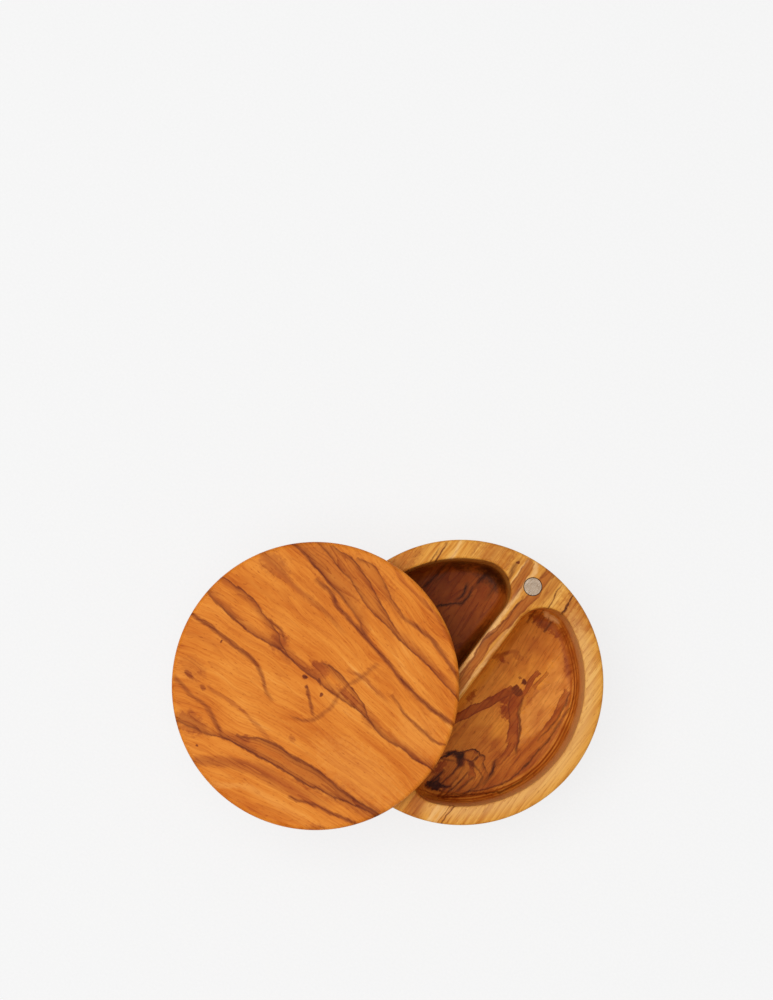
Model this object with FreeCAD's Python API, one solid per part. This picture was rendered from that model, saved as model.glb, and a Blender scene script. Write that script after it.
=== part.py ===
import FreeCAD, Part
import math
import os

# Two-compartment keeper turned from olive wood, with a lid that swivels on one hidden pivot.
# All lengths are millimetres and all angles degrees. The origin is the middle of the flat
# underside, +Z is up, and +Y runs along the divider from the pivot to the catch magnet.

# Outside of the box and its lid
box_diameter = 125.0
base_height = 52.5
lid_thickness = 12.5
rim_edge_radius = 1.3
foot_edge_radius = 2.0
lid_top_edge_radius = 1.8
lid_under_edge_radius = 0.9
cuts_per_turned_edge = 2

# The two pockets, mirror images on either side of the divider
rim_width = 8.2
divider_thickness = 8.4
pocket_depth = 40.5
pocket_corner_radius = 13.0
pocket_floor_radius = 6.0
pocket_edge_chamfer = 0.7

# Catch: one disc magnet in the rim and one in the lid, face to face when shut
magnet_diameter = 8.0
magnet_thickness = 3.0
magnet_edge_chamfer = 0.2
magnet_from_edge = 10.1
magnet_sink = 0.15
magnet_glue_gap = 0.15

# Pivot: an M5 button-head screw from below, locked into a barbed insert in the lid
pivot_from_edge = 11.5
screw_diameter = 5.0
screw_length = 50.0
screw_tip_chamfer = 0.7
head_diameter = 9.5
head_height = 2.75
head_rim_height = 0.6
head_crown_diameter = 4.8
cuts_per_head_dome = 3
hex_sides = 6
hex_key_size = 3.0
hex_key_depth = 1.6
counterbore_diameter = 12.0
head_washer_diameter = 10.0
head_washer_thickness = 1.0

# Nylon washer on which the lid turns, let into the rim
slip_washer_diameter = 12.0
slip_washer_thickness = 0.8
slip_washer_recess = 0.4
slip_washer_side_gap = 0.2

# Threaded insert pressed into the lid
insert_diameter = 8.0
insert_length = 9.0
insert_flange_diameter = 10.5
insert_flange_thickness = 1.0
insert_barb_count = 2
insert_barb_depth = 0.5
insert_bore_past_screw = 0.5
insert_hole_past_insert = 0.6

# Clearances between the pieces of the pivot
running_gap = 0.05
shaft_clearance = 0.08
washer_bore_clearance = 0.15
insert_clearance = 0.05
thread_clearance = 0.02

# Swing of the lid from shut to the stored pose, anticlockwise seen from above
lid_open_angle = 77.0

# Places that follow from the sizes above
box_radius = box_diameter / 2
pocket_radius = box_radius - rim_width
pocket_floor_z = base_height - pocket_depth
pivot_y = pivot_from_edge - box_radius
magnet_y = box_radius - magnet_from_edge
slip_washer_z = base_height - slip_washer_recess
slip_washer_top_z = slip_washer_z + slip_washer_thickness
lid_under_z = slip_washer_top_z + running_gap
lid_top_z = lid_under_z + lid_thickness
insert_top_z = lid_under_z + insert_length
screw_tip_z = insert_top_z - insert_bore_past_screw
head_seat_z = screw_tip_z - screw_length
head_washer_z = head_seat_z + running_gap
counterbore_top_z = head_washer_z + head_washer_thickness
magnet_recess_radius = magnet_diameter / 2 + magnet_glue_gap
magnet_recess_depth = magnet_thickness + magnet_sink
washer_bore_radius = screw_diameter / 2 + washer_bore_clearance

# Largest step between two numbers that count as the same height or radius
same = 0.01

UP = FreeCAD.Vector(0, 0, 1)
ACROSS = FreeCAD.Vector(1, 0, 0)
MIDDLE = FreeCAD.Vector(0, 0, 0)
PIVOT = FreeCAD.Vector(0, pivot_y, 0)
CATCH = FreeCAD.Vector(0, magnet_y, 0)


def cylinder(place, radius, low, high):
    """Upright cylinder over a place on the table, between two heights."""
    return Part.makeCylinder(radius, high - low, FreeCAD.Vector(place.x, place.y, low))


def ring(place, outer_radius, inner_radius, low, high):
    """Flat ring over a place on the table, between two heights."""
    return cylinder(place, outer_radius, low, high).cut(cylinder(place, inner_radius, low, high))


def line(start, end):
    """Straight edge between two points."""
    return Part.LineSegment(start, end).toShape()


def arc(start, middle, end):
    """Arc from the first point through the second to the third."""
    return Part.Arc(start, middle, end).toShape()


def profile_point(radius, height):
    """Point of a turned piece's profile, in the XZ plane."""
    return FreeCAD.Vector(radius, 0, height)


def round_corners(radius, height, size, first_angle, cuts):
    """Corners of an edge rounded over with straight cuts, anticlockwise from an angle."""
    corners = []
    for step in range(cuts + 1):
        angle = math.radians(first_angle + 90 * step / cuts)
        corners.append(profile_point(radius + size * math.cos(angle), height + size * math.sin(angle)))
    return corners


def dome_corners(inner, low, outer, high, cuts):
    """Corners of a dome's straight cuts, from a low inner point out and up to a high outer one."""
    rise = high - low
    centre = (outer ** 2 + rise ** 2 - inner ** 2) / (2 * rise)
    ball = math.hypot(inner, centre)
    first_angle = math.atan2(inner, centre)
    last_angle = math.atan2(outer, centre - rise)
    corners = []
    for step in range(cuts + 1):
        angle = first_angle + (last_angle - first_angle) * step / cuts
        corners.append(profile_point(ball * math.sin(angle), low + centre - ball * math.cos(angle)))
    return corners


def closed_lines(corners):
    """Straight edges from corner to corner and back to the first."""
    return [line(start, end) for start, end in zip(corners, corners[1:] + corners[:1])]


def turned(edges, place):
    """Solid turned about the upright axis from a closed profile, then moved over a place."""
    solid = Part.Face(Part.Wire(edges)).revolve(MIDDLE, UP, 360)
    solid.translate(place)
    return solid


def turned_disc(place, radius, low, high, low_round, high_round, cuts):
    """Disc turned with its lower and its upper edge rounded over in some straight cuts."""
    corners = [profile_point(0, low)]
    corners += round_corners(radius - low_round, low + low_round, low_round, -90, cuts)
    corners += round_corners(radius - high_round, high - high_round, high_round, 0, cuts)
    corners.append(profile_point(0, high))
    return turned(closed_lines(corners), place)


def pocket_outline(z):
    """D-shaped outline on the +X side: flat along the divider, round along the rim."""
    flat_x = divider_thickness / 2
    corner_x = flat_x + pocket_corner_radius
    corner_y = math.sqrt((pocket_radius - pocket_corner_radius) ** 2 - corner_x ** 2)
    rim_angle = math.atan2(corner_y, corner_x)
    bulge_angle = (math.pi + rim_angle) / 2
    rim_x = pocket_radius * math.cos(rim_angle)
    rim_y = pocket_radius * math.sin(rim_angle)
    bulge_x = corner_x + pocket_corner_radius * math.cos(bulge_angle)
    bulge_y = corner_y + pocket_corner_radius * math.sin(bulge_angle)
    flat_near = FreeCAD.Vector(flat_x, -corner_y, z)
    flat_far = FreeCAD.Vector(flat_x, corner_y, z)
    rim_near = FreeCAD.Vector(rim_x, -rim_y, z)
    rim_far = FreeCAD.Vector(rim_x, rim_y, z)
    outline = [
        line(flat_near, flat_far),
        arc(flat_far, FreeCAD.Vector(bulge_x, bulge_y, z), rim_far),
        arc(rim_far, FreeCAD.Vector(pocket_radius, 0, z), rim_near),
        arc(rim_near, FreeCAD.Vector(bulge_x, -bulge_y, z), flat_near),
    ]
    return Part.Wire(outline)


def pocket_cutter():
    """Solid that routs the +X pocket, with the round that the bit leaves along the floor."""
    solid = Part.Face(pocket_outline(pocket_floor_z)).extrude(UP * (pocket_depth + rim_edge_radius))
    floor_edges = [edge for edge in solid.Edges if edge.BoundBox.ZMax < pocket_floor_z + same]
    return solid.makeFillet(pocket_floor_radius, floor_edges)


def is_pocket_mouth(edge):
    """True for an edge that lies in the rim's plane along a pocket."""
    if edge.BoundBox.ZMin < base_height - same:
        return False
    farthest = max(math.hypot(corner.X, corner.Y) for corner in edge.Vertexes)
    return farthest < pocket_radius + same


def make_base_body():
    """Turned block with both pockets, the magnet's recess and the pivot's stepped bore."""
    edges = (foot_edge_radius, rim_edge_radius)
    body = turned_disc(MIDDLE, box_radius, 0, base_height, *edges, cuts_per_turned_edge)
    cutter = pocket_cutter()
    body = body.cut(cutter)
    body = body.cut(cutter.mirror(MIDDLE, ACROSS))
    mouth_edges = [edge for edge in body.Edges if is_pocket_mouth(edge)]
    body = body.makeChamfer(pocket_edge_chamfer, mouth_edges)
    slip_recess_radius = slip_washer_diameter / 2 + slip_washer_side_gap
    body = body.cut(cylinder(CATCH, magnet_recess_radius, base_height - magnet_recess_depth, lid_under_z))
    body = body.cut(cylinder(PIVOT, slip_recess_radius, slip_washer_z, lid_under_z))
    body = body.cut(cylinder(PIVOT, screw_diameter / 2 + shaft_clearance, 0, base_height))
    body = body.cut(cylinder(PIVOT, counterbore_diameter / 2, 0, counterbore_top_z))
    return body


def magnet_disc(low):
    """Disc magnet over the catch, from its lower face up."""
    edges = (magnet_edge_chamfer, magnet_edge_chamfer)
    return turned_disc(CATCH, magnet_diameter / 2, low, low + magnet_thickness, *edges, 1)


def opened(shape):
    """A piece of the lid, swung from the shut position to the stored pose."""
    turned_shape = shape.copy()
    turned_shape.rotate(PIVOT, UP, lid_open_angle)
    return turned_shape


def make_base_magnet():
    """Disc magnet glued into the rim, a hair under its surface."""
    return magnet_disc(base_height - magnet_recess_depth)


def make_head_washer():
    """Flat steel washer against the counterbore's shoulder."""
    return ring(PIVOT, head_washer_diameter / 2, washer_bore_radius, head_washer_z, counterbore_top_z)


def make_slip_washer():
    """Nylon washer that stands a little above the rim and carries the lid."""
    return ring(PIVOT, slip_washer_diameter / 2, washer_bore_radius, slip_washer_z, slip_washer_top_z)


def make_swivel_lid():
    """Turned disc with a blind hole for the insert and a recess for its magnet below."""
    edges = (lid_under_edge_radius, lid_top_edge_radius)
    disc = turned_disc(MIDDLE, box_radius, lid_under_z, lid_top_z, *edges, cuts_per_turned_edge)
    flange_top_z = lid_under_z + insert_flange_thickness
    hole_top_z = insert_top_z + insert_hole_past_insert
    disc = disc.cut(cylinder(PIVOT, insert_flange_diameter / 2 + insert_clearance, lid_under_z, flange_top_z))
    disc = disc.cut(cylinder(PIVOT, insert_diameter / 2 + insert_clearance, lid_under_z, hole_top_z))
    disc = disc.cut(cylinder(CATCH, magnet_recess_radius, lid_under_z, lid_under_z + magnet_recess_depth))
    return opened(disc)


def make_lid_magnet():
    """Disc magnet glued into the lid's underside, above the other one when shut."""
    return opened(magnet_disc(lid_under_z + magnet_sink))


def make_lid_insert():
    """Brass insert: a flange flush with the lid's underside and barbs that grip the wood."""
    outer = insert_diameter / 2
    root = outer - insert_barb_depth
    bore = screw_diameter / 2 + thread_clearance
    flange = insert_flange_diameter / 2
    flange_top_z = lid_under_z + insert_flange_thickness
    pitch = (insert_top_z - flange_top_z) / (insert_barb_count + 1)
    corners = [profile_point(bore, lid_under_z), profile_point(flange, lid_under_z)]
    corners += [profile_point(flange, flange_top_z), profile_point(root, flange_top_z)]
    for barb in range(1, insert_barb_count + 1):
        shoulder_z = flange_top_z + barb * pitch
        corners += [profile_point(root, shoulder_z), profile_point(outer, shoulder_z)]
    corners += [profile_point(root, insert_top_z), profile_point(bore, insert_top_z)]
    return turned(closed_lines(corners), PIVOT)


def hex_socket(low, high):
    """Hexagonal prism on the upright axis, as wide across its flats as the key."""
    corner_radius = hex_key_size / 2 / math.cos(math.pi / hex_sides)
    corners = []
    for corner in range(hex_sides + 1):
        angle = 2 * math.pi * corner / hex_sides
        corners.append(FreeCAD.Vector(corner_radius * math.cos(angle), corner_radius * math.sin(angle), low))
    return Part.Face(Part.makePolygon(corners)).extrude(UP * (high - low))


def make_pivot_screw():
    """Button-head screw, its domed head down in the counterbore and its tip in the insert."""
    shank = screw_diameter / 2
    head = head_diameter / 2
    crown = head_crown_diameter / 2
    crown_z = head_seat_z - head_height
    rim_z = head_seat_z - head_rim_height
    corners = [profile_point(0, crown_z)]
    corners += dome_corners(crown, crown_z, head, rim_z, cuts_per_head_dome)
    corners += [profile_point(head, head_seat_z), profile_point(shank, head_seat_z)]
    corners.append(profile_point(shank, screw_tip_z - screw_tip_chamfer))
    corners.append(profile_point(shank - screw_tip_chamfer, screw_tip_z))
    corners.append(profile_point(0, screw_tip_z))
    screw = turned(closed_lines(corners), MIDDLE).cut(hex_socket(crown_z, crown_z + hex_key_depth))
    screw.translate(PIVOT)
    return opened(screw)


def write_parts():
    """Write one STEP file for each piece, in the order in which the box is put together."""
    pieces = {
        "base_body": make_base_body(),
        "base_magnet": make_base_magnet(),
        "slip_washer": make_slip_washer(),
        "head_washer": make_head_washer(),
        "swivel_lid": make_swivel_lid(),
        "lid_magnet": make_lid_magnet(),
        "lid_insert": make_lid_insert(),
        "pivot_screw": make_pivot_screw(),
    }
    os.makedirs("parts", exist_ok=True)
    for name, shape in pieces.items():
        solid = shape.removeSplitter()
        solid.exportStep("parts/" + name + ".step")
        print(name, "solids", len(solid.Solids), "volume", round(solid.Volume, 1), "valid", solid.isValid())


write_parts()
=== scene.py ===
import math

import bmesh
import bpy
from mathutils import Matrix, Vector


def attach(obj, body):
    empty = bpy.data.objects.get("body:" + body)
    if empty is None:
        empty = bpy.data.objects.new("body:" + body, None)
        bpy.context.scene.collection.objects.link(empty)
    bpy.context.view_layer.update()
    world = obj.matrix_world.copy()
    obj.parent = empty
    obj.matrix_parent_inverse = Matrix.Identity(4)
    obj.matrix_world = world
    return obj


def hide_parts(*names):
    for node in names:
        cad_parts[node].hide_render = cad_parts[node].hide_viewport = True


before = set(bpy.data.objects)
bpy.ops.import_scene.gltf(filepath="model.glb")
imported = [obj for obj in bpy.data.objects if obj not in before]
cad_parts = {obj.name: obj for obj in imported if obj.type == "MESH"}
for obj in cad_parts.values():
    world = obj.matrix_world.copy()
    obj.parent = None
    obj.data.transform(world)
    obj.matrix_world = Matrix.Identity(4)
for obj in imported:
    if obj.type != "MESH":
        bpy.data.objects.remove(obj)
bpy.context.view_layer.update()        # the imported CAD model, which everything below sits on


# BASE BLOCK
# One block of olive wood, turned round on a lathe, with two D-shaped pockets routed on
# either side of a divider. Both pockets have a round floor edge left by the router bit,
# and the rim is bored for the catch magnet and for the pivot screw.
block_radius = 0.0625
block_height = 0.0525
block_foot_round = 0.002
block_rim_round = 0.0013
pocket_radius = 0.0543
pocket_corner = 0.013
pocket_floor = 0.012
pocket_floor_round = 0.006
pocket_mouth_round = 0.0011
divider_half = 0.0042
pivot_place = (0, -0.051)
catch_place = (0, 0.0524)
magnet_recess = (0.00415, 0.04935)
slip_recess = (0.0062, 0.0521)
shank_bore = 0.00258
counterbore = (0.006, 0.0125)
above_rim = 0.056
hair = 0.00002


def pick(piece, kind, wanted):
    """Goes into edit mode with only those points, edges or faces selected that are wanted."""
    if bpy.context.mode != "OBJECT":
        bpy.ops.object.mode_set(mode="OBJECT")
    bpy.ops.object.select_all(action="DESELECT")
    piece.select_set(True)
    bpy.context.view_layer.objects.active = piece
    bpy.ops.object.mode_set(mode="EDIT")
    bpy.ops.mesh.select_mode(type=kind)
    bpy.ops.mesh.select_all(action="DESELECT")
    mesh = bmesh.from_edit_mesh(piece.data)
    mesh.normal_update()
    for part in {"VERT": mesh.verts, "EDGE": mesh.edges, "FACE": mesh.faces}[kind]:
        if wanted(part):
            part.select_set(True)
    mesh.select_flush_mode()
    bmesh.update_edit_mesh(piece.data)


def done(piece):
    """Leaves edit mode and puts the piece's place into its mesh."""
    if bpy.context.mode != "OBJECT":
        bpy.ops.object.mode_set(mode="OBJECT")
    bpy.ops.object.select_all(action="DESELECT")
    piece.select_set(True)
    bpy.context.view_layer.objects.active = piece
    bpy.ops.object.transform_apply(location=True, rotation=True, scale=True)


def apply_modifier(piece, kind, **settings):
    """Adds a modifier with its settings and applies it."""
    done(piece)
    modifier = piece.modifiers.new(kind.lower(), kind)
    for name, value in settings.items():
        setattr(modifier, name, value)
    bpy.ops.object.modifier_apply(modifier=modifier.name)


def post(place, radius, low, high, sides=96):
    """Upright round post over a place, the start of a turned piece or the cutter of a bore."""
    bpy.ops.object.select_all(action="DESELECT")
    middle = (place[0], place[1], (low + high) / 2)
    bpy.ops.mesh.primitive_cylinder_add(vertices=sides, radius=radius, depth=high - low, location=middle)
    piece = bpy.context.object
    done(piece)
    return piece


def cut(piece, cutter):
    """Takes the cutter's shape out of the piece."""
    apply_modifier(piece, "BOOLEAN", operation="DIFFERENCE", solver="EXACT", object=cutter)
    bpy.data.objects.remove(cutter)


def turn_disc(name, place, radius, low, high, low_round, high_round):
    """Disc as it comes off the lathe, with its lower and its upper edge rounded over."""
    piece = post(place, radius, low, high, sides=256)
    piece.name = piece.data.name = name
    for height, size in ((low, low_round), (high, high_round)):
        pick(piece, "EDGE", lambda edge: all(abs(point.co.z - height) < hair for point in edge.verts))
        bpy.ops.mesh.bevel(offset=size, segments=8, profile=0.5, affect="EDGES")
    done(piece)
    return piece


def smooth(piece, angle=35):
    """Soft shading over the rounds, with flat faces kept flat."""
    done(piece)
    bpy.ops.object.shade_smooth_by_angle(angle=math.radians(angle))
    apply_modifier(piece, "WEIGHTED_NORMAL", keep_sharp=True)


def rout_pocket():
    """Solid that the router takes out for the +X pocket, made by spinning its upright edge round."""
    corner_x = divider_half + pocket_corner
    corner_y = math.sqrt((pocket_radius - pocket_corner) ** 2 - corner_x ** 2)
    rim_turn = 2 * math.atan2(corner_y, corner_x)
    corner_turn = math.pi - rim_turn / 2
    tall = above_rim - pocket_floor
    bpy.ops.object.select_all(action="DESELECT")
    bpy.ops.mesh.primitive_plane_add(
        size=tall,
        location=(divider_half, corner_y + tall / 2, pocket_floor + tall / 2),
        rotation=(0, math.pi / 2, 0),
    )
    cutter = bpy.context.object
    done(cutter)
    pick(cutter, "VERT", lambda point: point.co.y > corner_y + hair)
    bpy.ops.mesh.delete(type="VERT")
    bpy.ops.mesh.select_all(action="SELECT")
    for centre_y, centre_x, turn, steps in (
        (corner_y, corner_x, corner_turn, 28),
        (0, 0, rim_turn, 110),
        (-corner_y, corner_x, corner_turn, 28),
    ):
        bpy.ops.mesh.spin(steps=steps, angle=turn, center=(centre_x, centre_y, 0), axis=(0, 0, 1))
    upright = lambda edge: edge.is_boundary and abs(edge.verts[0].co.z - edge.verts[1].co.z) > hair
    pick(cutter, "EDGE", upright)
    bpy.ops.mesh.edge_face_add()
    for height in (pocket_floor, above_rim):
        pick(cutter, "EDGE", lambda edge: edge.is_boundary and all(abs(point.co.z - height) < hair for point in edge.verts))
        bpy.ops.mesh.edge_face_add()
    pick(cutter, "EDGE", lambda edge: all(abs(point.co.z - pocket_floor) < hair for point in edge.verts))
    bpy.ops.mesh.bevel(offset=pocket_floor_round, segments=14, profile=0.5, affect="EDGES")
    bpy.ops.mesh.select_all(action="SELECT")
    bpy.ops.mesh.remove_doubles(threshold=hair / 20)
    bpy.ops.mesh.normals_make_consistent(inside=False)
    done(cutter)
    return cutter


def is_mouth(edge):
    """True for an edge between the flat rim and a pocket's upright wall."""
    if any(abs(point.co.z - block_height) > hair for point in edge.verts) or len(edge.link_faces) != 2:
        return False
    rises = sorted(abs(face.normal.z) for face in edge.link_faces)
    return rises[0] < 0.1 and rises[1] > 0.9


base_block = turn_disc("base_block", (0, 0), block_radius, 0, block_height, block_foot_round, block_rim_round)
right_pocket = rout_pocket()
bpy.ops.object.select_all(action="DESELECT")
right_pocket.select_set(True)
bpy.context.view_layer.objects.active = right_pocket
bpy.ops.object.duplicate()
left_pocket = bpy.context.object
left_pocket.scale = (-1, 1, 1)
done(left_pocket)
pick(left_pocket, "FACE", lambda face: True)
bpy.ops.mesh.normals_make_consistent(inside=False)
done(left_pocket)
cut(base_block, right_pocket)
cut(base_block, left_pocket)
pick(base_block, "EDGE", is_mouth)
bpy.ops.mesh.bevel(offset=pocket_mouth_round, segments=6, profile=0.5, affect="EDGES")
done(base_block)
cut(base_block, post(catch_place, magnet_recess[0], magnet_recess[1], above_rim))
cut(base_block, post(pivot_place, slip_recess[0], slip_recess[1], above_rim))
cut(base_block, post(pivot_place, shank_bore, -0.002, above_rim))
cut(base_block, post(pivot_place, counterbore[0], -0.002, counterbore[1]))
smooth(base_block)


def paint(colour):
    """sRGB hex colour, as it is seen, turned to the linear one that a shader takes."""
    parts = [int(colour[i:i + 2], 16) / 255 for i in (1, 3, 5)]
    return tuple(c / 12.92 if c <= 0.04045 else ((c + 0.055) / 1.055) ** 2.4 for c in parts) + (1,)


def add_node(tree, kind, settings=None, links=None):
    """Adds one node. Settings are its choices and fixed sockets, links are what feeds its sockets."""
    node = tree.nodes.new("ShaderNode" + kind)
    for name, value in (settings or {}).items():
        if isinstance(name, int) or name in node.inputs:
            node.inputs[name].default_value = value
        else:
            setattr(node, name, value)
    for name, source in (links or {}).items():
        tree.links.new(source if isinstance(source, bpy.types.NodeSocket) else source.outputs[0], node.inputs[name])
    return node


def new_material(name):
    """Empty node material and its tree."""
    material = bpy.data.materials.new(name)
    material.use_nodes = True
    material.node_tree.nodes.clear()
    return material, material.node_tree


def fill_ramp(node, stops):
    """Sets a colour ramp's stops, each a position and a colour of four numbers."""
    ramp = node.color_ramp
    while len(ramp.elements) > 1:
        ramp.elements.remove(ramp.elements[-1])
    for number, (position, colour) in enumerate(stops):
        stop = ramp.elements[0] if number == 0 else ramp.elements.new(position)
        stop.position = position
        stop.color = colour
    return node


# How a vein of olive wood looks across the grain: distance from its line in mm, then how
# much near-black, brown and pale wood there is. Most veins are dark on one side only.
vein_profiles = {
    "line": [(-2, 0, 0, 0), (-0.5, 0.6, 0.9, 0), (0, 1, 1, 0), (0.5, 0.6, 0.9, 0), (2, 0, 0, 0)],
    "right": [(-1.3, 0, 0, 0), (0, 1, 1, 0), (1.2, 0.35, 0.8, 0), (3.5, 0.08, 0.45, 0), (7, 0, 0, 0)],
    "left": [(-7, 0, 0, 0), (-3.5, 0.08, 0.45, 0), (-1.2, 0.35, 0.8, 0), (0, 1, 1, 0), (1.3, 0, 0, 0)],
    "band": [(-4, 0, 0, 0), (-1.2, 0.05, 0.9, 0), (0, 0.1, 1, 0), (1.2, 0.05, 0.9, 0), (4, 0, 0, 0)],
    "stain": [(-3.2, 0, 0, 0), (-2.5, 0.3, 1, 0), (-1.6, 0.05, 0.86, 0), (1.6, 0.05, 0.86, 0), (2.5, 0.3, 1, 0), (3.2, 0, 0, 0)],
    "pale": [(-4, 0, 0, 0), (-0.8, 0, 0, 1), (0.8, 0, 0, 1), (4, 0, 0, 0)],
}
figure_reach = 64    # mm each way that a vein's path may lie


def draw_veins(tree, across, along, veins, total=None):
    """Draws veins over a total of figure. Each is a path of points in mm, with a strength at each."""
    share = add_node(tree, "MapRange", {"From Min": -figure_reach, "From Max": figure_reach}, {"Value": along})
    share = add_node(tree, "CombineColor", {}, {0: share, 1: share})
    for profile, width, path in veins:
        route = add_node(tree, "RGBCurve", {}, {"Color": share})
        spots = sorted((0.5 + y / figure_reach / 2, 0.5 + x / figure_reach / 2, strength) for x, y, strength in path)
        for channel in (0, 1):
            points = route.mapping.curves[channel].points
            for spot in spots[2:]:
                points.new(spot[0], spot[channel + 1])
            points[0].location = (spots[0][0], spots[0][channel + 1])
            points[len(points) - 1].location = (spots[-1][0], spots[-1][channel + 1])
        for channel in (0, 1):
            points = route.mapping.curves[channel].points
            for point, spot in zip(points, spots):
                point.location = (spot[0], spot[channel + 1])
        route.mapping.update()
        parts = add_node(tree, "SeparateColor", {}, {"Color": route})
        line_at = add_node(tree, "MapRange", {"To Min": -figure_reach, "To Max": figure_reach}, {"Value": parts.outputs[0]})
        away = add_node(tree, "Math", {"operation": "SUBTRACT"}, {0: across, 1: line_at})
        stops = vein_profiles[profile]
        reach = max(-stops[0][0], stops[-1][0])
        place = add_node(tree, "Math", {"operation": "MULTIPLY_ADD", 1: 0.5 / reach / width, 2: 0.5}, {0: away})
        shape = add_node(tree, "ValToRGB", {}, {"Fac": place})
        fill_ramp(shape, [(0.5 + 0.5 * s[0] / reach, (s[1], s[2], s[3], 1)) for s in stops])
        shape.color_ramp.interpolation = "EASE"
        links = {0: parts.outputs[1], 7: shape}
        if total is not None:
            links[6] = total
        total = add_node(tree, "Mix", {"data_type": "RGBA", "blend_type": "LIGHTEN", 6: (0, 0, 0, 1)}, links).outputs[2]
    return total


def draw_spots(tree, point, ragged, edge, spots, total):
    """Draws oval spots with ragged edges over a total of figure: place, half sizes, turn and strengths."""
    for x, y, half_x, half_y, turn, strengths in spots:
        cos, sin = math.cos(math.radians(turn)), math.sin(math.radians(turn))
        away = add_node(tree, "VectorMath", {"operation": "SUBTRACT", 1: (x, y, 0)}, {0: point})
        wide = add_node(tree, "VectorMath", {"operation": "DOT_PRODUCT", 1: (cos / half_x, sin / half_x, 0)}, {0: away})
        tall = add_node(tree, "VectorMath", {"operation": "DOT_PRODUCT", 1: (-sin / half_y, cos / half_y, 0)}, {0: away})
        wide, tall = wide.outputs["Value"], tall.outputs["Value"]
        square = add_node(tree, "Math", {"operation": "MULTIPLY_ADD"}, {0: wide, 1: wide, 2: ragged})
        square = add_node(tree, "Math", {"operation": "MULTIPLY_ADD"}, {0: tall, 1: tall, 2: square})
        near = add_node(tree, "MapRange", {"interpolation_type": "SMOOTHSTEP", "From Min": 1.0, "From Max": edge}, {"Value": square})
        total = add_node(
            tree, "Mix", {"data_type": "RGBA", "blend_type": "LIGHTEN", 7: (*strengths, 1)}, {0: near, 6: total}
        ).outputs[2]
    return total


def grow_grain(tree, point, sizes, weights, colours, ring_size, ring_count):
    """Colour of plain wood from noises stretched along the grain, each with its size across and along in mm."""
    tones = {}
    for name, (across, along, detail) in sizes.items():
        spread = add_node(tree, "Mapping", {"Scale": (1 / across, 1 / along, 1 / across)}, {"Vector": point})
        tones[name] = add_node(tree, "TexNoise", {"Scale": 1.0, "Detail": detail, "Roughness": 0.55}, {"Vector": spread})
    tone = None
    for name, weight in weights.items():
        settings = {"operation": "MULTIPLY_ADD", 1: weight}
        links = {0: tones[name]}
        if tone is None:
            settings[2] = 0.5 - sum(weights.values()) / 2
        else:
            links[2] = tone
        tone = add_node(tree, "Math", settings, links)
    ground = add_node(tree, "ValToRGB", {}, {"Fac": tone})
    fill_ramp(ground, [(place, paint(shade)) for place, shade in colours])
    # year rings: contour lines of a long soft noise, each sharp on one side and fading on the other
    across, along = ring_size
    ring = add_node(tree, "Mapping", {"Scale": (1 / across, 1 / along, 1 / across)}, {"Vector": point})
    ring = add_node(tree, "TexNoise", {"Scale": 1.0, "Detail": 1.5, "Roughness": 0.4}, {"Vector": ring})
    ring = add_node(tree, "Math", {"operation": "MULTIPLY", 1: ring_count}, {0: ring})
    ring = add_node(tree, "Math", {"operation": "FRACT"}, {0: ring})
    tones["rings"] = add_node(tree, "MapRange", {"From Min": 0.42, "From Max": 0.0}, {"Value": ring})
    return ground.outputs[0], tones


def finish_wood(tree, colour, brown, tones, ring_strength, pores, shine):
    """Ring lines, pores, fibre relief, roughness and the shader of sanded and oiled wood."""
    strength = add_node(tree, "MapRange", {"To Min": ring_strength[0], "To Max": ring_strength[1]}, {"Value": brown})
    ring_part = add_node(tree, "Math", {"operation": "MULTIPLY"}, {0: strength, 1: tones["rings"]})
    darken = {"data_type": "RGBA", "blend_type": "MULTIPLY", 7: paint("#B0704A")}
    colour = add_node(tree, "Mix", darken, {0: ring_part, 6: colour}).outputs[2]
    pore_lines = add_node(tree, "MapRange", {"From Min": 0.37, "From Max": 0.27}, {"Value": tones["pores"]})
    pore_part = add_node(tree, "Math", {"operation": "MULTIPLY", 1: pores}, {0: pore_lines})
    darken[7] = paint("#A86430")
    colour = add_node(tree, "Mix", darken, {0: pore_part, 6: colour}).outputs[2]
    relief = add_node(tree, "Math", {"operation": "SUBTRACT"}, {0: tones["fibres"], 1: pore_lines})
    bump = add_node(tree, "Bump", {"Strength": 0.3, "Distance": 0.00006}, {"Height": relief})
    rough = add_node(tree, "MapRange", {"To Min": shine[0], "To Max": shine[1]}, {"Value": tones["bands"]})
    shader = add_node(
        tree,
        "BsdfPrincipled",
        {"IOR": 1.45, "Specular IOR Level": 0.08},
        {"Base Color": colour, "Roughness": rough, "Normal": bump},
    )
    add_node(tree, "OutputMaterial", {}, {"Surface": shader})


# Olive wood, end-to-end grain along Y, sanded and oiled: golden at the rim where the grain
# is straight, with brown and near-black heartwood figure where the routed floors cut deeper.
base_wood, tree = new_material("oiled_olive_wood_base")
where = add_node(tree, "TexCoord")
in_mm = add_node(tree, "VectorMath", {"operation": "SCALE", "Scale": 1000.0}, {0: where.outputs["Object"]})
# the grain wanders sideways by a couple of mm over the length of the block
wander = add_node(tree, "Mapping", {"Scale": (1 / 26, 1 / 60, 1 / 30)}, {"Vector": in_mm})
wander = add_node(tree, "TexNoise", {"Scale": 1.0, "Detail": 2.0, "Roughness": 0.45}, {"Vector": wander})
wander = add_node(tree, "VectorMath", {"operation": "MULTIPLY_ADD", 1: (7, 4, 6), 2: (-3.5, -2, -3)}, {0: wander.outputs["Color"]})
grain_point = add_node(tree, "VectorMath", {"operation": "ADD"}, {0: in_mm, 1: wander})
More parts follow.
